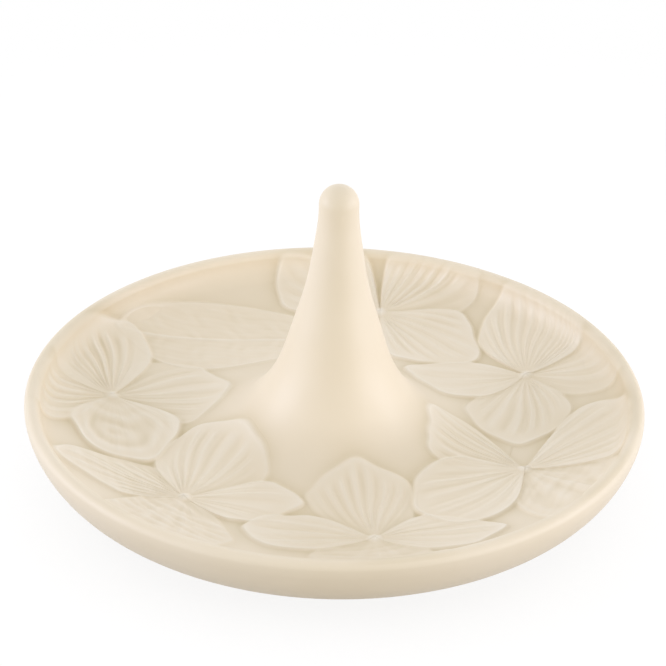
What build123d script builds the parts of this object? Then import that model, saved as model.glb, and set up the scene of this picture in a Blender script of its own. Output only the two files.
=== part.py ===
import os
from math import cos, radians, sin, sqrt

from build123d import *

# Ring dish: a shallow round dish on a turned foot, a hollow cone for finger rings in the
# middle, and a relief of six four-petalled blossoms and one leaf laid over the inside.
# Millimetres, +Z up, origin at the centre of the foot's resting face.

# Dish
dish_radius = 65.0
rim_height = 18.0
rim_thickness = 3.2
foot_height = 3.0
foot_radius = 50.0
floor_thickness = 5.0
floor_radius = 38.0

# Foot ring
foot_width = 4.0
foot_rounding = 0.9

# Ring cone
overall_height = 65.0
tip_radius = 4.1
flare_radius = 32.0
flare_lip = 0.4
cone_wall = 3.6
hollow_radius = 17.0

# Relief
petal_length = 29.0
petal_relief = 0.9
lifted_relief = 1.3
eye_radius = 1.8
leaf_relief = 0.6
leaf_length = 52.0
leaf_half_width = 13.2
plain_border = 0.8

# Levels and radii worked out from the sizes above
floor_level = foot_height + floor_thickness
cone_height = overall_height - floor_level
wall_top = rim_height - rim_thickness / 2
inner_radius = dish_radius - rim_thickness
relief_radius = inner_radius - plain_border
floor_edge = Vector(floor_radius, floor_level)

# Tight turn under the rim, inside and outside, as a share of the height that the side climbs
turn_share = 0.6

# Outside of the cone from the shoulder down: radius as a share of the flare's radius,
# height as a share of the cone's height. The hollow follows the waist's rows from inside.
# The waist's last row is where the flare starts, above the reach of the petals.
neck_shares = ((0.130, 0.88), (0.154, 0.77))
waist_shares = ((0.187, 0.65), (0.297, 0.42), (0.393, 0.26), (0.531, 0.14))
flare_shares = ((0.710, 0.054), (0.900, 0.013))

# Blossoms: name, centre as a share of the dish radius, azimuth in degrees, and four petals
# with the uppermost first. A petal is a fan of corners, each a heading in degrees and a
# reach as a share of petal_length. Each blossom lies over the ones after it.
blossom_shares = (
    ("left", 0.750, 169.5, (
        ((63, 0.64), (86, 0.96), (120, 0.72), (165, 0.50)),
        ((226, 0.43), (262, 0.76), (293, 0.93), (325, 0.68), (338, 0.57)),
        ((-31, 0.68), (-15, 0.76), (12, 0.93), (45, 0.76), (63, 0.61)),
        ((160, 0.46), (205, 0.62), (227, 0.75), (240, 0.57)))),
    ("back", 0.763, 78.2, (
        ((-64, 0.80), (-42, 1.03), (-20, 0.80), (-1, 0.64)),
        ((0, 0.74), (19, 0.82), (52, 0.58), (86, 0.48)),
        ((100, 0.45), (151, 0.92), (164, 0.90), (182, 0.75)),
        ((195, 0.66), (222, 0.86), (244, 0.88), (268, 0.66)))),
    ("back_right", 0.731, 27.6, (
        ((24, 0.56), (58, 0.74), (88, 0.96), (106, 0.90), (130, 0.58)),
        ((149, 0.43), (171, 0.91), (185, 0.92), (210, 0.70), (227, 0.40)),
        ((222, 0.64), (238, 0.85), (264, 0.98), (290, 0.75), (309, 0.54)),
        ((-43, 0.54), (-33, 0.88), (-4, 0.62), (24, 0.54)))),
    ("right", 0.654, -21.1, (
        ((165, 0.50), (188, 0.77), (217, 1.00), (240, 0.86), (260, 0.55)),
        ((-1, 0.68), (22, 0.87), (48, 1.04), (60, 0.93)),
        ((-92, 0.64), (-73, 0.90), (-45, 0.80), (-3, 0.62)),
        ((124, 0.76), (136, 0.94), (155, 0.79), (176, 0.68)))),
    ("front", 0.657, -78.6, (
        ((146, 0.48), (160, 0.78), (175, 0.93), (192, 0.75), (206, 0.44)),
        ((-27, 0.40), (-12, 0.68), (8, 0.96), (24, 0.66), (44, 0.46)),
        ((50, 0.46), (66, 0.69), (100, 0.80), (137, 0.68)),
        ((-152, 0.52), (-98, 0.68), (-50, 0.76), (-26, 0.45)))),
    ("front_left", 0.638, -136.3, (
        ((-42, 0.40), (-31, 0.58), (-3, 0.87), (20, 0.58)),
        ((20, 0.62), (38, 0.72), (66, 0.90), (90, 0.92), (123, 0.52)),
        ((134, 0.62), (148, 0.98), (159, 1.00), (171, 0.70), (188, 0.42)),
        ((200, 0.60), (240, 0.72), (285, 0.72), (306, 0.66)))),
)
lifted_petals = 2

# A petal's margin: how far its sides stand outside the first and last corner in degrees,
# where along its spread the margin's points lie, and how crisply its corners turn
side_margin = 5
spread_shares = (-0.97, -0.88, -0.74, -0.56, -0.36, -0.12, 0.12, 0.36, 0.56, 0.74, 0.88, 0.97)
corner_crispness = 9
side_crispness = 10
side_softness = 0.4

# Leaf: its tip as a share of the dish radius and an azimuth, the heading of its midrib, and
# its margin as shares of the leaf's length and half width
leaf_tip_share = 0.935
leaf_tip_azimuth = 146.7
leaf_heading = 6
leaf_shares = ((0.10, 0.50), (0.26, 0.92), (0.44, 1.00), (0.62, 0.86), (0.80, 0.66), (0.93, 0.38))


def polar(reach, heading):
    """Offset of a given reach along a heading in degrees."""
    return Vector(reach * cos(radians(heading)), reach * sin(radians(heading)))


def cone_points(shares):
    """Points on the outside of the cone for rows of shares."""
    return [Vector(flare_radius * radius, floor_level + cone_height * height) for radius, height in shares]


def flare_line(rise):
    """Outside of the cone from its waist down to the flare's edge, lifted by rise."""
    above, waist, *below = cone_points(waist_shares + flare_shares)[-len(flare_shares) - 2:]
    edge = Vector(flare_radius, floor_level + flare_lip)
    points = [point + Vector(0, rise) for point in (waist, *below, edge)]
    return Spline(*points, tangents=(below[0] - above, (1, 0)))


def sweep_radius(start, end_radius, turn):
    """Radius of the long arc that leaves start level and runs into the turn at the rim."""
    run = end_radius - turn - start.X
    climb = wall_top - start.Y
    return (run**2 + climb**2 - turn**2) / (2 * (climb - turn))


def bowl_line(start, end_radius, rise=0):
    """Side of a bowl in two arcs, from level at start to upright at the rim, rise inside it."""
    turn = turn_share * (wall_top - start.Y)
    sweep = sweep_radius(start, end_radius, turn)
    sweep_centre = start + Vector(0, sweep)
    turn_centre = Vector(end_radius - turn, wall_top)
    joint = sweep_centre + (turn_centre - sweep_centre).normalized() * (sweep - rise)
    long_arc = TangentArc(start + Vector(0, rise), joint, tangent=(1, 0))
    short_arc = TangentArc(joint, (end_radius - rise, wall_top), tangent=long_arc % 1)
    return long_arc @ 0, short_arc @ 1


def inside_line(rise):
    """Profile of the inside from the cone's waist to the rim, lifted by rise. Gives its ends."""
    flare = flare_line(rise)
    wall_start, wall_end = bowl_line(floor_edge, inner_radius, rise)
    Polyline(flare @ 1, (flare_radius, floor_level + rise), wall_start)
    return flare @ 0, wall_end


def relief_band(rise):
    """Ring of clay that covers the inside to a depth of rise."""
    with BuildPart() as band:
        with BuildSketch(Plane.XZ):
            with BuildLine():
                bare_top, bare_end = inside_line(0)
                raised_top, raised_end = inside_line(rise)
                Line(bare_top, raised_top)
                Line(bare_end, raised_end)
            make_face()
        revolve()
    return band.part


def ground_height(radius):
    """Height of the bare clay at a radius on the floor or the lower wall."""
    sweep = sweep_radius(floor_edge, inner_radius, turn_share * (wall_top - floor_level))
    return floor_level + sweep - sqrt(sweep**2 - max(radius - floor_radius, 0) ** 2)


def petal_reach(corners, heading):
    """Distance from the blossom's centre to a petal's margin along a heading.

    Each pair of neighbouring corners gives one straight edge of the fan. The edges are
    joined by a high power mean, which rounds the corners, and the reach falls to nothing
    at the fan's two sides.
    """
    points = [polar(petal_length * share, angle) for angle, share in corners]
    closeness = 0
    for start, end in zip(points, points[1:]):
        outward = Vector((end - start).Y, -(end - start).X).normalized()
        facing = max(outward.dot(polar(1, heading)), 0)
        closeness += (facing / outward.dot(start)) ** corner_crispness
    first, last = corners[0][0] - side_margin, corners[-1][0] + side_margin
    across = (2 * heading - first - last) / (last - first)
    sides = (1 - abs(across) ** side_crispness) ** side_softness
    return sides * closeness ** (-1 / corner_crispness)


def petal_prism(centre, corners):
    """Upright prism on a petal's outline, kept inside the dish's plain border."""
    first, last = corners[0][0] - side_margin, corners[-1][0] + side_margin
    headings = [(first + last + share * (last - first)) / 2 for share in spread_shares]
    with BuildPart() as prism:
        with BuildSketch():
            with BuildLine():
                margin = Spline(*[centre + polar(petal_reach(corners, angle), angle) for angle in headings])
                Polyline(margin @ 1, centre, margin @ 0)
            make_face()
            Circle(relief_radius, mode=Mode.INTERSECT)
        extrude(amount=overall_height)
    return prism.part


def leaf_prism():
    """Upright prism on the leaf's outline."""
    tip = polar(dish_radius * leaf_tip_share, leaf_tip_azimuth)
    base = tip + polar(leaf_length, leaf_heading)
    with BuildPart() as prism:
        with BuildSketch():
            with BuildLine():
                for side in (1, -1):
                    across = polar(side * leaf_half_width, leaf_heading + 90)
                    margin = [tip + (base - tip) * along + across * width for along, width in leaf_shares]
                    Spline(tip, *margin, base)
            make_face()
            Circle(relief_radius, mode=Mode.INTERSECT)
        extrude(amount=overall_height)
    return prism.part


def near(laid, centre):
    """Solids already laid that belong to this blossom or to one whose petals can reach it."""
    return [solid for place, solid in laid if (place - centre).length < 2 * petal_length]


def write(piece, name):
    piece.part.label = name
    export_step(piece.part, f"parts/{name}.step")


os.makedirs("parts", exist_ok=True)

# Dish: one turned wall, floor and rounded rim, open in the middle under the cone
with BuildPart() as dish:
    with BuildSketch(Plane.XZ):
        with BuildLine():
            inner_start, _ = bowl_line(floor_edge, inner_radius)
            outer_start, _ = bowl_line(Vector(foot_radius, foot_height), dish_radius)
            for quarter in (0, 90):
                CenterArc((dish_radius - rim_thickness / 2, wall_top), rim_thickness / 2, quarter, 90)
            Polyline(outer_start, (hollow_radius, foot_height), (hollow_radius, floor_level), inner_start)
        make_face()
    revolve()
write(dish, "dish")

# Foot ring: stuck under the floor, its resting edge rounded on both sides
with BuildPart() as foot_ring:
    with BuildSketch():
        Circle(foot_radius)
        Circle(foot_radius - foot_width, mode=Mode.SUBTRACT)
    extrude(amount=foot_height)
    fillet(foot_ring.edges().group_by(Axis.Z)[0], foot_rounding)
write(foot_ring, "foot_ring")

# Ring cone: a slender flared cone with a round tip, hollow from below
with BuildPart() as ring_cone:
    with BuildSketch(Plane.XZ):
        with BuildLine():
            flare = flare_line(0)
            shoulder = Vector(tip_radius, overall_height - tip_radius)
            Spline(shoulder, *cone_points(neck_shares + waist_shares), tangents=((0, -1), flare % 0))
            CenterArc((0, overall_height - tip_radius), tip_radius, 0, 90)
            Polyline(flare @ 1, (flare_radius, floor_level), (hollow_radius, floor_level))
            inside = [point - Vector(cone_wall, 0) for point in cone_points(waist_shares)]
            Spline(*inside, (hollow_radius, floor_level), tangents=((0, -1), (0, -1)))
            crown = CenterArc((0, inside[0].Y), inside[0].X, 0, 90)
            Line(crown @ 1, (0, overall_height))
        make_face()
    revolve()
write(ring_cone, "ring_cone")

# Petals and eyes: laid on from the uppermost down, each trimmed by what lies over it
low_band = relief_band(petal_relief)
lifted_band = relief_band(lifted_relief)
laid = []
for blossom, centre_share, azimuth, fans in blossom_shares:
    centre = polar(dish_radius * centre_share, azimuth)
    with BuildPart() as eye:
        with Locations(centre + Vector(0, 0, ground_height(dish_radius * centre_share))):
            Sphere(eye_radius)
        add(dish.part, mode=Mode.SUBTRACT)
    write(eye, f"{blossom}_blossom_eye")
    laid.append((centre, eye.part))
    for number, corners in enumerate(fans):
        prism = petal_prism(centre, corners)
        with BuildPart() as petal:
            add(prism)
            add(lifted_band if number < lifted_petals else low_band, mode=Mode.INTERSECT)
            add(near(laid, centre), mode=Mode.SUBTRACT)
            add(petal.solids().sort_by(SortBy.VOLUME)[-1], mode=Mode.REPLACE)
        write(petal, f"{blossom}_blossom_petal_{number + 1}")
        laid.append((centre, prism))

# Leaf: the lowest layer, showing between the left and the back blossom
with BuildPart() as leaf:
    add(leaf_prism())
    add(relief_band(leaf_relief), mode=Mode.INTERSECT)
    add([solid for _, solid in laid], mode=Mode.SUBTRACT)
    add(leaf.solids().sort_by(SortBy.VOLUME)[-1], mode=Mode.REPLACE)
write(leaf, "leaf")
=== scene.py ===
import bpy
import numpy as np
from mathutils import Matrix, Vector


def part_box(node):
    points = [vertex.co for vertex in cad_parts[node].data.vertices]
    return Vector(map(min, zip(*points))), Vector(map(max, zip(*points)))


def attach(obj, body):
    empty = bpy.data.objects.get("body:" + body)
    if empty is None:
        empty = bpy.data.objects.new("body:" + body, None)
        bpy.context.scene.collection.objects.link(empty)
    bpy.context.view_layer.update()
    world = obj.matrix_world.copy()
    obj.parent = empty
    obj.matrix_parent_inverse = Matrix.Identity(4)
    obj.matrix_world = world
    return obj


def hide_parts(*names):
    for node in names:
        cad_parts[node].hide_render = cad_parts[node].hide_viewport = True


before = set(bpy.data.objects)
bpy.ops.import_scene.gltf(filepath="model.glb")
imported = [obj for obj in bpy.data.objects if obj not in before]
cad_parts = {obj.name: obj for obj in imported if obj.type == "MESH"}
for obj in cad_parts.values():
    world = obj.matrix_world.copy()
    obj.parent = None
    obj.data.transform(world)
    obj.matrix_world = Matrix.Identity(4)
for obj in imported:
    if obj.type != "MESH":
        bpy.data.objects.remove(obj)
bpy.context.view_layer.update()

# Bare clay
# Under its relief the real dish is one smooth sweep of fired clay: the ring cone, its flare,
# the floor, the wall and the rounded rim. Sizes are millimetres, and the points of a profile
# are a radius and a height.

dish_box, foot_box, cone_box = (
    np.round(1000 * np.array(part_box(node)), 3) for node in ("dish", "foot_ring", "ring_cone"))
dish_radius = dish_box[1, 0]
rim_height = 18.0
rim_thickness = 3.2
foot_radius = foot_box[1, 0]
foot_level = foot_box[1, 2]
floor_radius = 38.0
floor_level = cone_box[0, 2]
flare_radius = cone_box[1, 0]
tip_height = cone_box[1, 2]
tip_radius = 4.1

# The cone's side below its tip: radius as a share of the flare's, height above the floor as
# a share of the cone's. The last two rows ease it into the floor.
cone_shares = (
    (0.130, 0.88), (0.154, 0.77), (0.187, 0.65), (0.297, 0.42), (0.393, 0.26),
    (0.531, 0.14), (0.710, 0.054), (0.900, 0.013), (1.050, 0.0018), (1.200, 0.0004))

# Tight turn under the rim, as a share of the height that the side climbs
turn_share = 0.6

# The relief's plan is drawn true on the floor, and shorter than the clay from here outwards
wall_foot = 54
wall_gain = 0.048

rim_rows = 29
covered_rim_rows = 21
rim_half = rim_thickness / 2
wall_top = rim_height - rim_half
inner_radius = dish_radius - rim_thickness


def heading(degrees):
    """Unit vectors along headings: the cosine and the sine of each."""
    return np.stack((np.cos(np.radians(degrees)), np.sin(np.radians(degrees))), axis=-1)


def arc(centre, radius, start, end, count):
    """Points on an arc: its centre plus its radius along evenly spread headings, in degrees."""
    return centre + radius * heading(np.linspace(start, end, count))


def smooth_line(knots, start, end, count):
    """Smooth curve through knots: a cubic on each chord, bending without a break.

    start and end are the directions at the two ends, or None for an end that runs out
    straight. The directions between them solve one equation a knot: the one before times
    the chord after, twice its own times both chords and the one after times the chord
    before make three times the two slopes, each times the other's chord. Gives count
    points, evenly spread over the length of the chords.
    """
    knots = np.asarray(knots, float)
    gaps = np.linalg.norm(np.diff(knots, axis=0), axis=1)
    slopes = np.diff(knots, axis=0) / gaps[:, None]
    size = len(knots)
    matrix, right = np.zeros((size, size)), np.zeros((size, 2))
    for row in range(1, size - 1):
        before, after = gaps[row - 1], gaps[row]
        matrix[row, row - 1 : row + 2] = after, 2 * (before + after), before
        right[row] = 3 * (after * slopes[row - 1] + before * slopes[row])
    for row, beside, way, slope in ((0, 1, start, slopes[0]), (-1, -2, end, slopes[-1])):
        matrix[row, row] = 2 if way is None else 1
        matrix[row, beside] = way is None
        right[row] = 3 * slope if way is None else way
    tangents = np.linalg.solve(matrix, right)
    marks = np.concatenate(([0], np.cumsum(gaps)))
    places = np.linspace(0, marks[-1], count)
    index = np.clip(np.searchsorted(marks, places) - 1, 0, size - 2)
    gap = gaps[index][:, None]
    share = (places - marks[index])[:, None] / gap
    near, far = knots[index], knots[index + 1]
    chord = near * (1 + 2 * share) * (1 - share) ** 2 + far * (3 - 2 * share) * share**2
    bend = tangents[index] * (1 - share) - tangents[index + 1] * share
    return chord + gap * share * (1 - share) * bend


def bowl_side(start, end_radius, count):
    """Side of a bowl: a long arc that starts level and a tight turn that ends upright.

    The turn's radius is its share of the climb. The long arc's radius makes the two meet
    in one direction: the square of its run plus the square of its climb, less the square
    of the turn, over twice what the climb has more than the turn.
    """
    climb = wall_top - start[1]
    turn = turn_share * climb
    run = end_radius - turn - start[0]
    sweep = (run**2 + climb**2 - turn**2) / (2 * (climb - turn))
    lean = np.degrees(np.arctan2(climb - sweep, run))
    return np.concatenate((
        arc((start[0], start[1] + sweep), sweep, -90, lean, count)[:-1],
        arc((end_radius - turn, wall_top), turn, lean, 0, count // 2),
    ))


def ways_along(line, rows):
    """Way of each point along a profile, from the first rows up the inside.

    It is the radius up to the foot of the wall, and grows with the line's length from there.
    """
    steps = np.linalg.norm(np.diff(line, axis=0), axis=1)
    ways = np.concatenate(([0], np.cumsum(steps)))
    ways = ways - np.interp(wall_foot, line[:rows, 0], ways[:rows]) + wall_foot
    return np.where(line[:, 0] < wall_foot, line[:, 0], ways)


cone_knots = np.array(cone_shares) * (flare_radius, tip_height - floor_level)
cone_knots = np.round(cone_knots + (0, floor_level), 2)
cone_side = smooth_line(
    ((tip_radius, tip_height - tip_radius), *cone_knots), (0, -1), (1, 0), 420)
wall_side = bowl_side((floor_radius, floor_level), inner_radius, 160)
rim_line = arc((dish_radius - rim_half, wall_top), rim_half, 180, 0, rim_rows)
ground_line = np.concatenate((
    cone_side[cone_side[:, 0] < floor_radius], wall_side, rim_line[1 : covered_rim_rows + 1]))
ground_ways = ways_along(ground_line, len(ground_line))
ground_slopes = np.gradient(ground_line, ground_ways, axis=0)
ground_slopes /= np.linalg.norm(ground_slopes, axis=1, keepdims=True)


def run_out(radius):
    """Way along the bare clay's profile for a radius on the relief's plan.

    The way is the radius, plus a gain times the square of what it has past the wall's foot.
    """
    return radius + wall_gain * np.maximum(radius - wall_foot, 0) ** 2


def ground(x, y, lift):
    """Points at a given lift above the bare clay, measured square to it.

    The plan's radius gives the way along the profile. The profile's point there is moved by
    the lift times the profile's normal, and turned to the heading of x and y.
    """
    radius = np.hypot(x, y)
    way = run_out(radius)
    place = [np.interp(way, ground_ways, ground_line[:, axis]) for axis in (0, 1)]
    slope = [np.interp(way, ground_ways, ground_slopes[:, axis]) for axis in (0, 1)]
    out = (place[0] - lift * slope[1]) / np.maximum(radius, 1e-6)
    return np.stack((x * out, y * out, place[1] + lift * slope[0]), axis=-1)


# Relief
# Six blossoms of four petals with a small eye, and one leaf, pressed from clay in moulds,
# stuck on with slip and glazed over. Each piece raises the heights that it is given, so that
# it lies on the ones below it. Headings are degrees.

# Blossoms: name, centre as a share of the dish radius, its azimuth, and four petals with the
# uppermost first. A petal is a fan of corners, each a heading and a reach as a share of the
# petal length. Each blossom lies over the ones after it.
blossoms = (
    ("left", 0.750, 169.5, (
        ((63, 0.64), (86, 0.96), (120, 0.72), (165, 0.50)),
        ((226, 0.43), (262, 0.76), (293, 0.93), (325, 0.68), (338, 0.57)),
        ((-31, 0.68), (-15, 0.76), (12, 0.93), (45, 0.76), (63, 0.61)),
        ((160, 0.46), (205, 0.62), (227, 0.75), (240, 0.57)))),
    ("back", 0.763, 78.2, (
        ((-88, 0.60), (-64, 0.84), (-42, 1.03), (-20, 0.80), (-1, 0.64)),
        ((0, 0.74), (19, 0.82), (52, 0.58), (86, 0.48)),
        ((100, 0.45), (151, 0.92), (164, 0.90), (182, 0.75)),
        ((195, 0.66), (222, 0.86), (244, 0.88), (268, 0.66)))),
    ("back_right", 0.731, 27.6, (
        ((24, 0.56), (58, 0.74), (88, 0.96), (106, 0.90), (130, 0.58)),
        ((149, 0.43), (171, 0.91), (185, 0.92), (210, 0.70), (227, 0.40)),
        ((222, 0.64), (238, 0.85), (264, 0.98), (290, 0.75), (309, 0.54)),
        ((-43, 0.54), (-33, 0.88), (-4, 0.62), (24, 0.54)))),
    ("right", 0.654, -21.1, (
        ((165, 0.50), (188, 0.77), (217, 1.00), (240, 0.86), (260, 0.55)),
        ((-1, 0.68), (22, 0.87), (48, 1.04), (60, 0.93)),
        ((-92, 0.64), (-73, 0.90), (-45, 0.80), (-3, 0.62)),
        ((124, 0.76), (136, 0.94), (155, 0.79), (176, 0.68)))),
    ("front", 0.657, -78.6, (
        ((146, 0.48), (160, 0.78), (175, 0.93), (192, 0.75), (206, 0.44)),
        ((-27, 0.40), (-12, 0.68), (8, 0.96), (24, 0.66), (44, 0.46)),
        ((50, 0.46), (66, 0.69), (100, 0.80), (137, 0.68)),
        ((-152, 0.52), (-98, 0.68), (-50, 0.76), (-26, 0.45)))),
    ("front_left", 0.638, -136.3, (
        ((-42, 0.40), (-31, 0.58), (-3, 0.87), (20, 0.58)),
        ((20, 0.62), (38, 0.72), (66, 0.90), (90, 0.92), (123, 0.52)),
        ((134, 0.62), (148, 0.98), (159, 1.00), (171, 0.70), (188, 0.42)),
        ((200, 0.60), (240, 0.72), (285, 0.72), (306, 0.66)))),
)

# A fan stands side_margin degrees past its first and last corner, and its margin stands out
# from the straight edges by its growth. The powers say how crisply edges meet.
petal_length = 29.0
side_margin = 5
growth = 1.3
corner_power = 12
border_power = 30

# The relief ends on the rim, and thins out over the last stretch
relief_radius = 63.9
rim_fade = 3.6

# A margin rolls down within roll_width and carries a bead. Every piece stands a skin above
# what it covers, and lets a share of that show through.
roll_width = 1.2
bead_depth = 0.70
bead_width = 0.38
skin = 0.02
show_through = 0.15
least_step = 0.08
root_length = 10
eye_radius = 1.75
eye_height = 0.45


def ease(value):
    """Rises from 0 to 1 with soft ends: three times the square less twice the cube."""
    value = np.clip(value, 0, 1)
    return value * value * (3 - 2 * value)


def bead_at(depth):
    """Bead along a rolled margin: a bell over the depth inside it."""
    return np.exp(-(((depth - bead_depth) / bead_width) ** 2))


def left_at_rim(x, y):
    """Share of the relief's height that is left where it thins out over the rim."""
    return 0.12 + 0.88 * ease((relief_radius - np.hypot(x, y)) / rim_fade)


def evenly(loop, count):
    """Points spread evenly once round a loop whose last point is its first."""
    marks = np.concatenate(([0], np.cumsum(np.linalg.norm(np.diff(loop, axis=0), axis=1))))
    places = np.linspace(0, marks[-1], count, endpoint=False)
    return np.stack([np.interp(places, marks, loop[:, axis]) for axis in (0, 1)], axis=1)


def petal_reach(centre, corners, angles):
    """Distances from the blossom's centre to the petal's margin along each angle.

    The straight edges between neighbouring corners are joined by a power mean, which
    rounds the corners, and the border on the rim cuts them off in the same way. Two slow
    waves keep the margin from running straight. The reach falls to nothing at the two sides
    of the fan. Gives the reach, and the reach that the petal would have without the border.
    """
    first, last = angles[0], angles[-1]
    across = (2 * angles - first - last) / (last - first)
    ways = heading(angles)
    points = [petal_length * share * heading(angle) for angle, share in corners]
    along = ways @ centre
    border = np.sqrt(along**2 - centre @ centre + relief_radius**2) - along
    closeness = 0
    for start, end in zip(points, points[1:]):
        outward = np.array(((end - start)[1], -(end - start)[0]))
        nearness = np.maximum(ways @ outward, 0) / (outward @ start)
        closeness = closeness + nearness**corner_power
    inner = np.maximum(closeness, 1e-30) ** (-1 / corner_power) + growth
    inner = inner + 0.25 * np.sin(8 * across + first) + 0.15 * np.sin(19 * across + last)
    fan = (1 - np.abs(across) ** 10) ** 0.4
    mean = inner**-border_power + border**-border_power
    return fan * mean ** (-1 / border_power), fan * inner


class Petal:
    """One petal: a fan with a rolled margin, a lower middle and veins that run from its root."""

    def __init__(self, name, centre, corners, look):
        self.name, self.centre, self.look = name, centre, look
        first, last = corners[0][0] - side_margin, corners[-1][0] + side_margin
        self.middle, self.half = (first + last) / 2, (last - first) / 2
        self.turns = np.linspace(-1, 1, 1601)
        self.angles = self.middle + self.half * np.sin(np.pi / 2 * self.turns)
        self.reach, self.whole = petal_reach(centre, corners, self.angles)
        self.steep = np.gradient(self.reach, np.radians(self.angles + 1e-6 * self.turns))

    def outline(self, count):
        """Margin of the petal as evenly spaced points, once round."""
        return evenly(self.centre + self.reach[:, None] * heading(self.angles), count)

    def veins(self, bowed, out):
        """Veins and finer strands: cosines over the fan, each made uneven by slow sines."""
        number, phase = self.look["veins"], self.look["phase"]
        veins = 0.5 + 0.5 * np.cos(np.pi * number * bowed)
        strands = 0.5 + 0.5 * np.cos(np.pi * (2.7 * number * bowed + phase + 2 * out))
        broken = 0.6 + 0.4 * np.sin(9.1 * bowed + 3.7 * phase + 5 * out)
        strength = 0.75 + 0.25 * np.sin(5.3 * bowed + 2.1 * phase + 3 * out)
        return strength * (veins - 0.5) + 0.42 * broken * (strands - 0.5)

    def dents(self, bowed, out):
        """A hollow in the middle: a flat-topped bell over an oval, with fading rings round it."""
        oval = ((out - 0.60) / 0.24) ** 2 + ((bowed + 0.05) / 0.60) ** 2
        return np.exp(-(oval**2)) + 0.45 * np.cos(9 * np.sqrt(oval + 0.02)) * np.exp(-oval / 3)

    def strokes(self, x, y):
        """Crossing tool strokes: the product of two sines, one along the radius, both bent."""
        radius = np.hypot(x, y)
        strokes = np.sin(2.1 * radius + 2.4 * np.sin(0.17 * x + 0.25 * y + self.look["phase"]))
        return strokes * np.sin(0.33 * x - 0.19 * y + 1.4 * np.sin(0.8 * radius))

    def over(self, x, y, beneath):
        """Heights with this petal laid over those beneath.

        Its own height is a plain part, a swell inside the margin and the margin's bead, all
        lower at the root and at a side that tucks under a neighbour. Veins that bow outwards
        are added, which fade at root, sides and tip, and so are the hollow, a slight tilt
        and the strokes. Over other clay the petal stays on top, by a rounded maximum. It
        rises from what lies beneath within the width of the rolled margin.
        """
        look = self.look
        phase = look["phase"]
        dx, dy = x - self.centre[0], y - self.centre[1]
        distance = np.hypot(dx, dy)
        angle = np.degrees(np.arctan2(dy, dx))
        across = ((angle - self.middle + 180) % 360 - 180) / self.half
        turns = np.arcsin(np.clip(across, -1, 1)) * 2 / np.pi
        reach, whole, steep = (
            np.interp(turns, self.turns, line) for line in (self.reach, self.whole, self.steep))
        inside = (np.abs(across) < 1) & (distance < reach)
        slope = np.hypot(1, steep / np.maximum(reach, 0.1))
        depth = np.where(inside, (reach - distance) / slope, 0)
        margin = np.where(inside, (whole - distance) / slope, 0)
        out = np.clip(distance / np.maximum(reach, 0.1), 0, 1)
        bowed = across / (1.12 - 0.34 * out**2)
        bowed = (bowed + 0.05 * np.sin(3.1 * bowed + 1.7 * phase)
                 + 0.02 * np.sin(7.3 * bowed + 2.9 * phase))
        bowed = bowed + 0.012 * np.sin(9 * out + phase)
        own = look["height"] + 0.08 * ease(margin / 5)
        own = own + look["bead"] * bead_at(margin) * (1 + 0.5 * np.sin(look["ruffles"] * bowed + phase))
        own = own * (look["root"] + (1 - look["root"]) * ease(distance / root_length))
        side_sink = np.where(across < 0, look["sinks"][0], look["sinks"][1])
        sink = side_sink * ease((np.abs(across) - 0.15) / 0.5)
        own = own * (1 - sink)
        vein_end = 1.3 + 0.8 * np.sin(11 * bowed + 2.3 * phase) + look["plain"]
        fade = ease((distance - 0.8) / 4) * ease((margin - vein_end) / 3.0)
        fade = fade * ease((look["fluted"] - np.abs(bowed)) / 0.25)
        own = own + look["vein_height"] * fade * (1 - sink) * self.veins(bowed, out)
        own = own - look["hollow"] * self.dents(bowed, out)
        own = own + 0.08 * bowed * np.sin(3 * phase) * (1 - sink)
        own = own + look["streaks"] * self.strokes(x, y) * ease((depth - 0.6) / 1.5)
        own = own * left_at_rim(x, y)
        gap = own + show_through * beneath - beneath - least_step
        top = beneath + least_step + (gap + np.sqrt(gap**2 + 0.015)) / 2
        return np.where(inside, beneath + skin + (top - beneath) * ease(depth / roll_width), beneath)


class Eye:
    """The small round knob in the middle of a blossom."""

    def __init__(self, name, centre):
        self.name, self.centre = name, centre

    def outline(self, count):
        """Edge of the knob as evenly spaced points, once round."""
        return self.centre + eye_radius * heading(np.linspace(0, 360, count, endpoint=False))

    def over(self, x, y, beneath):
        """Heights with the knob laid over those beneath.

        It is a dome with a soft foot: one less the square of the share of its radius, to the
        power of one and a half.
        """
        share = np.hypot(x - self.centre[0], y - self.centre[1]) / eye_radius
        dome = (1 - np.clip(share, 0, 1) ** 2) ** 1.5
        return np.where(share < 1, beneath + skin + eye_height * dome, beneath)


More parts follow.
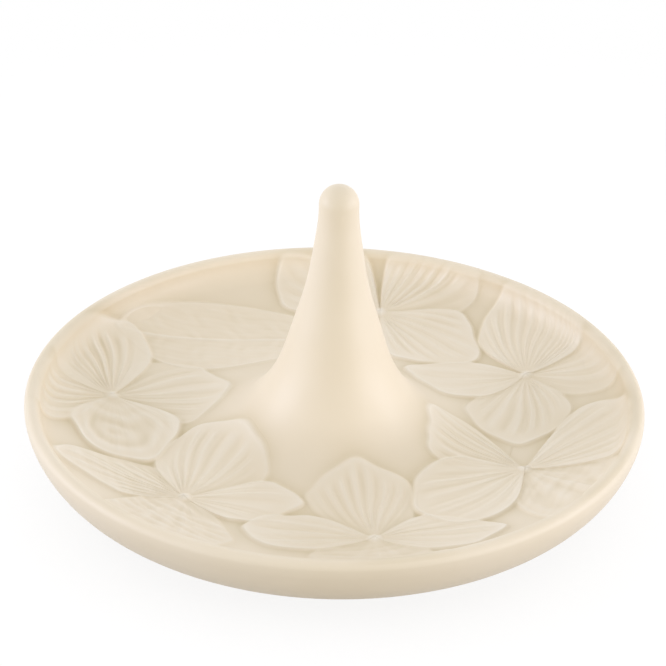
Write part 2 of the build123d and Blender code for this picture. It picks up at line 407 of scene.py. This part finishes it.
class Leaf:
    """The one broad leaf, with a midrib and side veins, the lowest piece of the relief.

    It is drawn from its tip. The margins are shares of its length and half width, ahead
    along the midrib and aside from it.
    """

    name = "leaf"
    tip = np.array((-49.3, 33.2))
    size = (51.0, 13.2)
    ahead, aside = heading(6), heading(96)
    upper_shares = ((0.06, 0.36), (0.20, 0.76), (0.40, 0.99), (0.62, 0.93), (0.80, 0.72), (0.93, 0.40))
    lower_shares = (
        (0.10, -0.50), (0.26, -0.92), (0.44, -1.00), (0.62, -0.86), (0.80, -0.66), (0.93, -0.38))
    upper = smooth_line(np.array(((0, 0), *upper_shares, (1, 0))) * size, None, None, 400)
    lower = smooth_line(np.array(((0, 0), *lower_shares, (1, 0))) * size, None, None, 400)

    def outline(self, count):
        """Margin of the leaf as evenly spaced points, once round."""
        sides = np.concatenate((self.lower, self.upper[-2:0:-1]))
        loop = self.tip + sides[:, :1] * self.ahead + sides[:, 1:] * self.aside
        radius = np.linalg.norm(loop, axis=1, keepdims=True)
        loop = loop * np.minimum(1, relief_radius / radius)
        return evenly(np.concatenate((loop, loop[:1])), count)

    def over(self, x, y, beneath):
        """Heights with the leaf laid down: a thin rolled margin, a midrib and side veins.

        The side veins are faint strokes, sines that leave the midrib at a slant and turn
        towards the tip, broken up by a slow wave, with a finer grain along the blade.
        """
        dx, dy = x - self.tip[0], y - self.tip[1]
        along = dx * self.ahead[0] + dy * self.ahead[1]
        across = dx * self.aside[0] + dy * self.aside[1]
        width = np.where(
            across < 0,
            -np.interp(along, self.lower[:, 0], self.lower[:, 1], left=0, right=0),
            np.interp(along, self.upper[:, 0], self.upper[:, 1], left=0, right=0))
        side = np.minimum(width - np.abs(across), relief_radius - np.hypot(x, y))
        depth = np.maximum(side, 0)
        slant = along + 1.2 * np.abs(across) - 0.05 * across**2
        strokes = np.sin(2 * np.pi * slant / 5.2 + 1.3 * np.sin(0.7 * along))
        strokes = strokes * np.sin(0.5 * across + 0.25 * along)
        grain = np.sin(2.6 * across + 0.30 * along + np.sin(0.5 * along))
        grain = grain * np.sin(0.21 * along + 0.9 * across)
        rib = np.exp(-(((across + 0.02 * along) / 0.55) ** 2))
        own = 0.20 + 0.16 * bead_at(depth) + 0.24 * rib
        own = own + (0.035 * strokes + 0.03 * grain) * ease((depth - 1) / 2)
        own = own * left_at_rim(x, y)
        return beneath + (side > 0) * skin + own * ease(depth / roll_width)


def tucked(number, fans):
    """A petal's corners, with one more at each side that lies under a neighbour above it.

    A side is tucked where the neighbour's nearest side is within tuck_gap of it, whole turns
    aside. Gives the corners and how far each side sinks to pass below the neighbour.
    """
    tuck_gap, tuck_turn, tuck_sink = 14, 15, 0.55
    corners, sinks = list(fans[number]), [0, 0]
    for end, way in ((0, -1), (-1, 1)):
        side, share = corners[end]
        for above in fans[:number]:
            facing_side, facing_share = above[0 if way > 0 else -1]
            overlap = way * (facing_side - side)
            if abs(overlap - round(overlap / 360) * 360) < tuck_gap:
                hidden = (side + tuck_turn * way, min(0.85 * share, 0.8 * facing_share))
                corners.insert(0 if way < 0 else len(corners), hidden)
                sinks[end] = tuck_sink
    return tuple(corners), sinks


# What sets single petals apart: the number and the depth of the veins, how much of the tip
# and of the sides is left plain, a hollow in the middle, and strokes
own_looks = {
    "left_blossom_petal_1": {"veins": 11, "vein_height": 0.33, "plain": 1.6, "fluted": 0.80},
    "left_blossom_petal_2": {"vein_height": 0.08, "hollow": 0.26, "height": 0.58},
    "left_blossom_petal_3": {"veins": 9, "vein_height": 0.25},
    "left_blossom_petal_4": {"veins": 9, "vein_height": 0.28},
    "back_blossom_petal_1": {"veins": 9, "vein_height": 0.23},
    "back_blossom_petal_2": {"veins": 9, "vein_height": 0.30},
    "back_blossom_petal_3": {"bead": 0.30},
    "back_right_blossom_petal_1": {"veins": 15, "vein_height": 0.18},
    "back_right_blossom_petal_2": {"veins": 5, "vein_height": 0.12},
    "back_right_blossom_petal_3": {"veins": 11, "vein_height": 0.26, "plain": 0.8},
    "right_blossom_petal_1": {"veins": 7, "vein_height": 0.18, "bead": 0.22},
    "right_blossom_petal_3": {"veins": 7, "vein_height": 0.18, "hollow": 0.16, "streaks": 0.05},
    "right_blossom_petal_4": {"veins": 9, "vein_height": 0.26},
    "front_blossom_petal_1": {"veins": 5, "vein_height": 0.18, "streaks": 0.03},
    "front_blossom_petal_3": {"veins": 13, "vein_height": 0.28},
    "front_blossom_petal_4": {"veins": 7, "vein_height": 0.09, "streaks": 0.07},
    "front_left_blossom_petal_1": {"veins": 5, "vein_height": 0.14},
    "front_left_blossom_petal_2": {"veins": 11, "vein_height": 0.24, "plain": 0.8},
    "front_left_blossom_petal_3": {"veins": 11, "vein_height": 0.26, "streaks": 0.05},
    "front_left_blossom_petal_4": {"veins": 9, "vein_height": 0.12, "streaks": 0.12},
}
seeds = np.random.default_rng(7)
layers = [Leaf()]
for blossom, share, azimuth, fans in reversed(blossoms):
    centre = dish_radius * share * heading(azimuth)
    for number in (3, 2, 1, 0):
        name = f"{blossom}_blossom_petal_{number + 1}"
        spread = fans[number][-1][0] - fans[number][0][0]
        corners, sinks = tucked(number, fans)
        look = {
            "sinks": sinks,
            "height": 0.44 if number < 2 else 0.37,
            "bead": 0.13,
            "root": 0.45,
            "plain": 0,
            "fluted": 0.98,
            "veins": 2 * round(spread / 21) + 1,
            "vein_height": 0.16,
            "hollow": 0,
            "streaks": 0,
            "ruffles": 4.5 + 2 * seeds.random(),
            "phase": 6.3 * seeds.random(),
        }
        layers.append(Petal(name, centre, corners, look | own_looks.get(name, {})))
    layers.append(Eye(f"{blossom}_blossom_eye", centre))


def raised(x, y, pieces):
    """Heights of a stack of pieces above the bare clay."""
    height = np.zeros_like(x)
    for piece in pieces:
        height = piece.over(x, y, height)
    return height


# Pooled glaze and painted shade
# Glaze runs into the hollows beside and in the relief while it melts, and pulls thin over
# the edges. The map holds how far each place lies under its surroundings. It also darkens
# the hollows as painted shade, in place of the shade that falls in them.

map_half = 66
map_step = 0.2
close_pool_and_shade, close_width = 1.9, 0.5
wide_pool_and_shade, wide_width, wide_core = 1.7, 1.9, 0.3
thinning, softness = 0.18, 0.22
map_line = np.arange(-map_half, map_half + 0.01, map_step)
map_x, map_y = np.meshgrid(map_line, map_line, indexing="ij")
map_height = raised(map_x, map_y, layers)


def blurred(field, width):
    """A field on the map's grid, blurred by a bell curve of the given width.

    Each wave in it is scaled by the exponential of minus twice the square of pi times the
    width times the wave's rate.
    """
    rate = np.fft.fftfreq(len(field), map_step)
    bell = np.exp(-2 * (np.pi * width * rate) ** 2)
    return np.fft.ifft2(np.fft.fft2(field) * bell[:, None] * bell[None, :]).real


# Hollows score high: yellower pooled glaze there, and darker there as painted shade
pool_and_shade_map = close_pool_and_shade * (blurred(map_height, close_width) - map_height)
pool_and_shade_map = pool_and_shade_map + wide_pool_and_shade * (blurred(map_height, wide_width) - blurred(map_height, wide_core))
pool_and_shade_map = blurred(pool_and_shade_map - thinning * map_height, softness)


def pooling_and_shade(x, y):
    """The map of pooled glaze and painted shade read at given places, straight between its grid points.
    """
    place_x = np.clip((x - map_line[0]) / map_step, 0, len(map_line) - 1.001)
    place_y = np.clip((y - map_line[0]) / map_step, 0, len(map_line) - 1.001)
    i, j = place_x.astype(int), place_y.astype(int)
    a, b = place_x - i, place_y - j
    low = pool_and_shade_map[i, j] * (1 - b) + pool_and_shade_map[i, j + 1] * b
    high = pool_and_shade_map[i + 1, j] * (1 - b) + pool_and_shade_map[i + 1, j + 1] * b
    return low * (1 - a) + high * a


# Glaze
# One cream glaze covers everything but the foot's resting edge: satin gloss, paler where it
# runs thin over an edge, yellower where it pools and darker there as painted shade, with slow
# clouds and fine waves.


def add_node(tree, kind, place, inputs=None, **settings):
    """A shader node at a place in its tree, with its settings and its unlinked inputs."""
    node = tree.nodes.new(kind)
    node.location = place
    for key, value in settings.items():
        setattr(node, key, value)
    for key, value in (inputs or {}).items():
        node.inputs[key].default_value = value
    return node


def wire(tree, *pairs):
    """Joins outputs to inputs, pair by pair."""
    for start, end in pairs:
        tree.links.new(start, end)


thin_color = (0.865, 0.797, 0.682, 1)
even_color = (0.797, 0.702, 0.546, 1)
# Colour of pooled glaze, darkened further as painted shade for the hollows
pooled_and_shaded_color = (0.628, 0.526, 0.335, 1)
coat_weight = 0.25

glaze = bpy.data.node_groups.new("glaze", "ShaderNodeTree")
for title, kind in (
        ("Color", "NodeSocketColor"), ("Roughness", "NodeSocketFloat"), ("Height", "NodeSocketFloat")):
    glaze.interface.new_socket(title, in_out="OUTPUT", socket_type=kind)
group_end = add_node(glaze, "NodeGroupOutput", (900, 0))
place = add_node(glaze, "ShaderNodeTexCoord", (-900, -200))
# Each point's pooled glaze and painted shade, read from the map
pool = add_node(glaze, "ShaderNodeAttribute", (-900, 200), attribute_name="pool")
clouds = add_node(glaze, "ShaderNodeTexNoise", (-650, -100), {"Scale": 55, "Detail": 2})
waves = add_node(glaze, "ShaderNodeTexNoise", (-650, -400), {"Scale": 260, "Detail": 1})
drift = add_node(glaze, "ShaderNodeMath", (-400, 0), {1: 0.30, 2: -0.15}, operation="MULTIPLY_ADD")
depth = add_node(glaze, "ShaderNodeMath", (-200, 150), operation="ADD")
spread = add_node(glaze, "ShaderNodeMapRange", (0, 150), {"From Min": -0.75, "From Max": 0.75})
tone = add_node(glaze, "ShaderNodeValToRGB", (250, 150))
tone.color_ramp.elements[0].color = thin_color
tone.color_ramp.elements[1].color = pooled_and_shaded_color
tone.color_ramp.elements.new(0.5).color = even_color
gloss = add_node(glaze, "ShaderNodeMapRange", (250, -150), {"To Min": 0.50, "To Max": 0.62})
wire(
    glaze,
    (place.outputs["Object"], clouds.inputs["Vector"]),
    (place.outputs["Object"], waves.inputs["Vector"]),
    (clouds.outputs["Fac"], drift.inputs[0]),
    (drift.outputs[0], depth.inputs[0]),
    (pool.outputs["Fac"], depth.inputs[1]),
    (depth.outputs[0], spread.inputs["Value"]),
    (spread.outputs["Result"], tone.inputs["Fac"]),
    (clouds.outputs["Fac"], gloss.inputs["Value"]),
    (tone.outputs["Color"], group_end.inputs["Color"]),
    (gloss.outputs["Result"], group_end.inputs["Roughness"]),
    (waves.outputs["Fac"], group_end.inputs["Height"]))


def glazed(name):
    """A material of its own that takes its colour, gloss and fine waves from the glaze."""
    material = bpy.data.materials.new(name)
    material.use_nodes = True
    tree = material.node_tree
    shader = tree.nodes["Principled BSDF"]
    shader.inputs["Coat Weight"].default_value = coat_weight
    shader.inputs["Coat Roughness"].default_value = 0.36
    look = add_node(tree, "ShaderNodeGroup", (-600, 200), node_tree=glaze, name="glaze")
    bump = add_node(tree, "ShaderNodeBump", (-300, -200), {"Strength": 0.25, "Distance": 0.0002})
    wire(
        tree,
        (look.outputs["Color"], shader.inputs["Base Color"]),
        (look.outputs["Roughness"], shader.inputs["Roughness"]),
        (look.outputs["Height"], bump.inputs["Height"]),
        (bump.outputs["Normal"], shader.inputs["Normal"]))
    return material


cream_glaze = glazed("cream_glaze")


def add_piece(name, points, faces, pool_and_shade_values, material):
    """A closed mesh from points in millimetres, as a piece of the dish.

    Its faces are turned outwards: they are reversed if the volume that they enclose, summed
    over triangles as the first corner times the cross product of the others, is negative.
    """
    mesh = bpy.data.meshes.new(name)
    points = np.asarray(points, float) / 1000
    volume = 0
    for corners in faces:
        first, second = points[corners[:, 0]], points[corners[:, 1]]
        for number in range(2, corners.shape[1]):
            third = points[corners[:, number]]
            volume += np.sum(first * np.cross(second, third))
            second = third
    if volume < 0:
        faces = [corners[:, ::-1] for corners in faces]
    loops = np.concatenate([corners.ravel() for corners in faces])
    sizes = np.concatenate([np.full(len(corners), corners.shape[1]) for corners in faces])
    mesh.vertices.add(len(points))
    mesh.vertices.foreach_set("co", points.ravel())
    mesh.loops.add(len(loops))
    mesh.loops.foreach_set("vertex_index", loops.astype(np.int32))
    mesh.polygons.add(len(sizes))
    mesh.polygons.foreach_set("loop_start", (np.cumsum(sizes) - sizes).astype(np.int32))
    mesh.update(calc_edges=True)
    mesh.shade_smooth()
    # Each point carries its pooled glaze and painted shade
    attribute = mesh.attributes.new("pool", "FLOAT", "POINT")
    attribute.data.foreach_set("value", np.asarray(pool_and_shade_values, np.float32))
    mesh.materials.append(material)
    piece = bpy.data.objects.new(name, mesh)
    bpy.context.scene.collection.objects.link(piece)
    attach(piece, "root")
    return piece


def strip_faces(rows, columns, wrap_rows, first=0):
    """Quads between the rows of a grid whose columns go once round.

    A corner's number is the first, plus its row times the columns, plus its column.
    """
    row = np.arange(rows if wrap_rows else rows - 1)[:, None]
    column = np.arange(columns)[None, :]
    row_after, column_after = (row + 1) % rows, (column + 1) % columns
    corners = (
        row * columns + column, row_after * columns + column,
        row_after * columns + column_after, row * columns + column_after)
    return first + np.stack([corner.ravel() for corner in corners], axis=1)


def fan_faces(hub, ring):
    """Triangles from a hub to each pair of neighbours on a ring of corners."""
    return np.stack((np.full(len(ring), hub), ring, np.roll(ring, -1)), axis=1)


def lathe(line, count):
    """A profile turned once round the dish's axis: its radius times cosine and sine of a turn."""
    turn = np.linspace(0, 2 * np.pi, count, endpoint=False)
    x, y = line[:, :1] * np.cos(turn), line[:, :1] * np.sin(turn)
    return np.stack((x, y, np.broadcast_to(line[:, 1:], x.shape)), axis=-1)


def level_line(radii, height):
    """Points of a profile at given radii and one height."""
    return np.stack((radii, np.full(len(radii), height)), axis=1)


# Dish
# One turned bowl of white clay: floor, rising wall and rounded rim, cut open in the middle
# under the cone. Cast or thrown, trimmed on the wheel and glazed inside and out.

dish_around = 680
hole_radius = 17.0
hole_rounding = 0.5
under_radius = 47
under_rings = 5
floor_rings = (hole_radius + hole_rounding, 24, 30, 34, 36)
wall_rings = wall_side[:-1:3]
outside_line = bowl_side((foot_radius, foot_level), dish_radius, 16)[::-1]
dish_line = np.concatenate((
    level_line((hole_radius,), foot_level + hole_rounding),
    level_line((hole_radius,), floor_level - hole_rounding),
    level_line(floor_rings, floor_level),
    wall_rings,
    rim_line,
    outside_line[1:],
    level_line(np.linspace(under_radius, hole_radius + hole_rounding, under_rings), foot_level),
))
dish_grid = lathe(dish_line, dish_around)

# The inside carries the map of pooled glaze and painted shade, read on the relief's plan: at
# the radius there that has the same way along the clay
covered_rows = 2 + len(floor_rings) + len(wall_rings) + covered_rim_rows
plan_radii = np.linspace(0, relief_radius + 0.6, 1300)
plan_share = np.interp(ways_along(dish_line, covered_rows), run_out(plan_radii), plan_radii)
plan_share = (plan_share / dish_line[:, 0])[:, None]
dish_pool_and_shade = pooling_and_shade(dish_grid[..., 0] * plan_share, dish_grid[..., 1] * plan_share)
dish_pool_and_shade[covered_rows:] = 0
dish = add_piece(
    "dish_bowl", dish_grid.reshape(-1, 3), [strip_faces(len(dish_line), dish_around, True)],
    dish_pool_and_shade.ravel(), cream_glaze)
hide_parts("dish")

# Foot ring
# A low ring of clay stuck under the floor and turned round. The glaze is wiped off its
# resting edge, which shows the bare, matt clay along a ragged border.

foot_width = 4.0
foot_rounding = 0.9
foot_side = 2.0
foot_top = foot_level + 0.3
foot_inner = foot_radius - foot_width
foot_line = np.concatenate((
    ((foot_radius, foot_top), (foot_radius, foot_side)),
    arc((foot_radius - foot_rounding, foot_rounding), foot_rounding, 0, -90, 9),
    arc((foot_inner + foot_rounding, foot_rounding), foot_rounding, -90, -180, 9),
    ((foot_inner, foot_side), (foot_inner, foot_top)),
))
bare_color = (0.78, 0.74, 0.67, 1)
bare_roughness = 0.85

# In metres: the clay is bare up to a height of 0.8 to 1.0 mm, which noise lowers unevenly
bare_foot = glazed("bare_foot")
tree = bare_foot.node_tree
shader, look = tree.nodes["Principled BSDF"], tree.nodes["glaze"]
place = add_node(tree, "ShaderNodeTexCoord", (-1300, 0))
parts = add_node(tree, "ShaderNodeSeparateXYZ", (-1100, 0))
ragged = add_node(tree, "ShaderNodeTexNoise", (-1100, -250), {"Scale": 180})
border = add_node(tree, "ShaderNodeMath", (-900, 0), {1: 0.0006}, operation="MULTIPLY_ADD")
wiped = add_node(tree, "ShaderNodeMapRange", (-700, 0), {
    "From Min": 0.0008, "From Max": 0.0010, "To Min": 1, "To Max": 0})
clay = add_node(tree, "ShaderNodeMix", (-250, 250), data_type="RGBA")
clay.inputs["B"].default_value = bare_color
matt = add_node(tree, "ShaderNodeMix", (-250, 0), {"B": bare_roughness})
coat = add_node(tree, "ShaderNodeMapRange", (-250, -450), {"To Min": coat_weight, "To Max": 0})
wire(
    tree,
    (place.outputs["Object"], parts.inputs[0]),
    (place.outputs["Object"], ragged.inputs["Vector"]),
    (ragged.outputs["Fac"], border.inputs[0]),
    (parts.outputs["Z"], border.inputs[2]),
    (border.outputs[0], wiped.inputs["Value"]),
    (wiped.outputs["Result"], clay.inputs["Factor"]),
    (wiped.outputs["Result"], matt.inputs["Factor"]),
    (wiped.outputs["Result"], coat.inputs["Value"]),
    (look.outputs["Color"], clay.inputs["A"]),
    (look.outputs["Roughness"], matt.inputs["A"]),
    (clay.outputs["Result"], shader.inputs["Base Color"]),
    (matt.outputs["Result"], shader.inputs["Roughness"]),
    (coat.outputs["Result"], shader.inputs["Coat Weight"]))
foot_grid = lathe(foot_line, dish_around)
foot = add_piece(
    "foot_rim", foot_grid.reshape(-1, 3), [strip_faces(len(foot_line), dish_around, True)],
    np.zeros(foot_grid[..., 0].size), bare_foot)
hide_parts("foot_ring")

# Ring cone
# A slender cast cone with a round tip, hollow from below. It stands in the middle and
# flares into the floor, where slip and glaze hide the joint.

cone_around = 360
cone_wall = 3.6
even_rows = 60
tip_line = arc((0, tip_height - tip_radius), tip_radius, 90, 0, 40)
buried_line = ((38.3, 7.8), (36.0, 7.6), (17.6, 7.6))

# The hollow runs inside the cone's side by the thickness of its wall, ends in a round crown
# and widens to the opening in the floor
hollow_knots = cone_knots[2:6] - (cone_wall, 0)
hollow_radius, hollow_level = hollow_knots[0]
hollow_side = smooth_line(
    (*hollow_knots, (hole_radius, floor_level - 0.05)), (0, -1), (0, -1), 60)[::-1]
crown_line = arc((0, hollow_level), hollow_radius, 0, 90, 12)
cone_line = np.concatenate((
    tip_line[1:], cone_side[1::3], buried_line, hollow_side[1:], crown_line[1:-1]))
cone_grid = lathe(cone_line, cone_around)
cone_poles = ((0, 0, tip_height), (0, 0, hollow_level + hollow_radius))

# The slim upper part stands clear of the relief, so its glaze is even and carries no painted shade
cone_pool_and_shade = pooling_and_shade(cone_grid[..., 0], cone_grid[..., 1])
cone_pool_and_shade[: len(tip_line) + even_rows] = 0
tip_number = len(cone_line) * cone_around
first_ring = np.arange(cone_around)
last_ring = tip_number - cone_around + first_ring
cone_faces = [
    strip_faces(len(cone_line), cone_around, False),
    fan_faces(tip_number, first_ring),
    fan_faces(tip_number + 1, last_ring)[:, [0, 2, 1]]]
cone = add_piece(
    "ring_cone_body", np.concatenate((cone_grid.reshape(-1, 3), cone_poles)), cone_faces,
    np.concatenate((cone_pool_and_shade.ravel(), (0, 0))), cream_glaze)
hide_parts("ring_cone")

# Blossoms and leaf
# Each petal, eye and the leaf is a sprig of clay of its own. Its top follows the relief,
# its margin rolls down on to what lies beneath, and its back lies on the bare clay.

sprig_grids = {Leaf: (90, 420), Petal: (64, 260), Eye: (12, 48)}
crowding = 1.2
skirt_width = 0.35
skirt_dip = 0.08
back_depth = 0.3
back_shares = np.array((1.0, 0.75, 0.5, 0.25))


def add_sprig(layer, beneath):
    """A piece of the relief as a closed mesh: rings from the middle of its outline to its margin.

    A ring's share of the outline is one less a power of the share of rings outside it, so
    that the rings crowd at the margin. One more ring outside the margin dips under the
    surface beneath, so that the margin leaves no seam. The back is the same outline just
    under the bare clay.
    """
    rings, count = sprig_grids[type(layer)]
    margin = layer.outline(count)
    hub = margin.mean(axis=0)
    shares = 1 - (1 - np.arange(1, rings + 1) / rings) ** crowding
    top = hub + shares[:, None, None] * (margin - hub)
    flow = np.roll(margin, -1, axis=0) - np.roll(margin, 1, axis=0)
    outward = np.stack((flow[:, 1], -flow[:, 0]), axis=1)
    outward = outward / np.linalg.norm(flow, axis=1, keepdims=True)
    outward = outward * np.sign(np.sum(outward * (margin - hub)))
    skirt = margin + skirt_width * outward
    plan = np.concatenate((hub[None], top.reshape(-1, 2), skirt))
    low = raised(plan[:, 0], plan[:, 1], beneath)
    lift = layer.over(plan[:, 0], plan[:, 1], low)
    lift[-count:] = low[-count:] - skirt_dip
    lift[-2 * count : -count] = low[-2 * count : -count] + skin
    back = (hub + back_shares[:, None, None] * (margin - hub)).reshape(-1, 2)
    back = np.concatenate((back, hub[None]))
    points = np.concatenate((
        ground(plan[:, 0], plan[:, 1], lift),
        ground(back[:, 0], back[:, 1], np.full(len(back), -back_depth))))
    # Pooled glaze and painted shade of the sprig, read on its plan for its top
    pool_and_shade_values = pooling_and_shade(points[:, 0], points[:, 1])
    pool_and_shade_values[: len(plan)] = pooling_and_shade(plan[:, 0], plan[:, 1])
    columns = np.arange(count)
    last = len(points) - 1
    faces = [
        fan_faces(0, 1 + columns),
        strip_faces(rings + 1 + len(back_shares), count, False, 1),
        fan_faces(last, last - count + columns)[:, [0, 2, 1]]]
    piece = add_piece(f"{layer.name}_relief", points, faces, pool_and_shade_values, cream_glaze)
    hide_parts(layer.name)


for index, layer in enumerate(layers):
    add_sprig(layer, layers[:index])

# Stage
# A plain pale table that ends softly, and a white room. The camera sees both as plain white.
# The dish sees soft light from all round, dimmer and warmer from the front, and lamps from
# both sides, from low in front and from behind.

table_half = 0.9
table_level = -0.0002
paper_color = (0.50, 0.47, 0.42, 1)
shown_color = (0.17, 0.17, 0.17, 1)
shown_glow = 0.85

table_mesh = bpy.data.meshes.new("table")
table_mesh.from_pydata(
    [(x * table_half, y * table_half, table_level) for x, y in ((-1, -1), (1, -1), (1, 1), (-1, 1))],
    [], [(0, 1, 2, 3)])
table = bpy.data.objects.new("table", table_mesh)
bpy.context.scene.collection.objects.link(table)
paper = bpy.data.materials.new("paper")
paper.use_nodes = True
tree = paper.node_tree
shader = tree.nodes["Principled BSDF"]
shader.inputs["Roughness"].default_value = 0.9
shader.inputs["Specular IOR Level"].default_value = 0.1
shader.inputs["Emission Color"].default_value = (1, 1, 1, 1)
spot = add_node(tree, "ShaderNodeTexCoord", (-1200, 0))
length = add_node(tree, "ShaderNodeVectorMath", (-1000, 0), operation="LENGTH")
fade = add_node(tree, "ShaderNodeMapRange", (-800, 0), {
    "From Min": 0.08, "From Max": 0.26, "To Min": 1, "To Max": 0}, interpolation_type="SMOOTHSTEP")
path = add_node(tree, "ShaderNodeLightPath", (-1200, 300))
mirrored = add_node(tree, "ShaderNodeMath", (-1000, 300), operation="MAXIMUM")
seen = add_node(tree, "ShaderNodeMath", (-800, 300), operation="MAXIMUM")
albedo = add_node(tree, "ShaderNodeMix", (-500, 200), data_type="RGBA")
albedo.inputs["A"].default_value = paper_color
albedo.inputs["B"].default_value = shown_color
glow = add_node(tree, "ShaderNodeMath", (-500, 400), {1: shown_glow}, operation="MULTIPLY")
wire(
    tree,
    (spot.outputs["Object"], length.inputs[0]),
    (length.outputs["Value"], fade.inputs["Value"]),
    (path.outputs["Is Glossy Ray"], mirrored.inputs[0]),
    (path.outputs["Is Transmission Ray"], mirrored.inputs[1]),
    (mirrored.outputs[0], seen.inputs[0]),
    (path.outputs["Is Camera Ray"], seen.inputs[1]),
    (seen.outputs[0], albedo.inputs["Factor"]),
    (seen.outputs[0], glow.inputs[0]),
    (glow.outputs[0], shader.inputs["Emission Strength"]),
    (albedo.outputs["Result"], shader.inputs["Base Color"]),
    (fade.outputs["Result"], shader.inputs["Alpha"]))
table_mesh.materials.append(paper)

room_strength = 0.87
front_color = (0.78, 0.75, 0.65, 1)

world = bpy.data.worlds.new("room")
bpy.context.scene.world = world
world.use_nodes = True
tree = world.node_tree
background = tree.nodes["Background"]
path = add_node(tree, "ShaderNodeLightPath", (-900, 300))
shown = add_node(tree, "ShaderNodeMath", (-650, 300), operation="MAXIMUM")
mirrored = add_node(tree, "ShaderNodeMath", (-500, 0), operation="MAXIMUM")
power = add_node(tree, "ShaderNodeMapRange", (-400, 200), {"To Min": room_strength, "To Max": 1})
way = add_node(tree, "ShaderNodeTexCoord", (-1300, -300))
parts = add_node(tree, "ShaderNodeSeparateXYZ", (-1100, -300))
front = add_node(tree, "ShaderNodeMapRange", (-900, -300), {
    "From Min": -1, "From Max": 0, "To Min": 1, "To Max": 0})
indirect = add_node(tree, "ShaderNodeMath", (-500, -200), {0: 1}, operation="SUBTRACT")
warm = add_node(tree, "ShaderNodeMath", (-300, -250), operation="MULTIPLY")
room = add_node(tree, "ShaderNodeMix", (-100, -100), data_type="RGBA")
room.inputs["A"].default_value = (1, 1, 1, 1)
room.inputs["B"].default_value = front_color
wire(
    tree,
    (path.outputs["Is Camera Ray"], shown.inputs[0]),
    (path.outputs["Is Transmission Ray"], shown.inputs[1]),
    (shown.outputs[0], mirrored.inputs[0]),
    (path.outputs["Is Glossy Ray"], mirrored.inputs[1]),
    (mirrored.outputs[0], power.inputs["Value"]),
    (power.outputs["Result"], background.inputs["Strength"]),
    (way.outputs["Object"], parts.inputs[0]),
    (parts.outputs["Y"], front.inputs["Value"]),
    (mirrored.outputs[0], indirect.inputs[1]),
    (front.outputs["Result"], warm.inputs[0]),
    (indirect.outputs[0], warm.inputs[1]),
    (warm.outputs[0], room.inputs["Factor"]),
    (room.outputs["Result"], background.inputs["Color"]))

aim = (0, 0, 0.03)


def add_lamp(name, place, size, watts, color, sheen=1.0):
    """A soft lamp of a given width and height at a place, turned towards the cone, in metres."""
    data = bpy.data.lights.new(name, "AREA")
    data.shape = "RECTANGLE"
    data.size, data.size_y = size
    data.energy = watts
    data.color = color
    data.specular_factor = sheen
    lamp = bpy.data.objects.new(name, data)
    bpy.context.scene.collection.objects.link(lamp)
    away = np.array(place, float) - aim
    away /= np.linalg.norm(away)
    side = np.cross((0, 0, 1), away)
    side /= np.linalg.norm(side)
    turn = np.stack((side, np.cross(away, side), away), axis=1)
    lamp.matrix_world = Matrix.Translation(place) @ Matrix(turn.tolist()).to_4x4()


add_lamp("left_lamp", (-0.86, -0.10, 0.20), (0.7, 0.38), 2.65, (1.0, 1.04, 1.34))
add_lamp("right_lamp", (0.86, -0.16, 0.20), (0.7, 0.38), 2.7, (1.0, 1.01, 1.24))
add_lamp("back_lamp", (0.0, 0.90, 0.45), (0.6, 0.6), 0.8, (0.95, 1.0, 1.2), 0.2)
add_lamp("left_low_lamp", (-0.62, -0.56, 0.07), (0.5, 0.12), 0.55, (1.0, 1.02, 1.12))
add_lamp("right_low_lamp", (0.66, -0.54, 0.07), (0.5, 0.12), 1.0, (1.0, 0.97, 0.98))

# Camera
# The photograph was taken from the front, 29.5 degrees above the table and about half a
# metre away, with a long lens, and the dish stands a little turned in the picture.

lift_angle, roll_angle = np.radians(29.5), np.radians(1.3)
distance = 500
aim_aside, aim_above = -0.65, 27.0
level = np.array((1.0, 0, 0))
forward = np.array((0, np.cos(lift_angle), -np.sin(lift_angle)))
upright = np.cross(level, forward)
side = level * np.cos(roll_angle) + upright * np.sin(roll_angle)
upwards = upright * np.cos(roll_angle) - level * np.sin(roll_angle)
eye_point = (aim_aside * level + aim_above * upright - distance * forward) / 1000
lens = bpy.data.cameras.new("camera")
lens.lens, lens.sensor_width = 126.1, 36
lens.clip_start, lens.clip_end = 0.02, 20
camera = bpy.data.objects.new("camera", lens)
bpy.context.scene.collection.objects.link(camera)
turn = np.stack((side, upwards, -forward), axis=1)
camera.matrix_world = Matrix.Translation(eye_point.tolist()) @ Matrix(turn.tolist()).to_4x4()
bpy.context.scene.camera = camera
bpy.context.scene.view_settings.view_transform = "Standard"
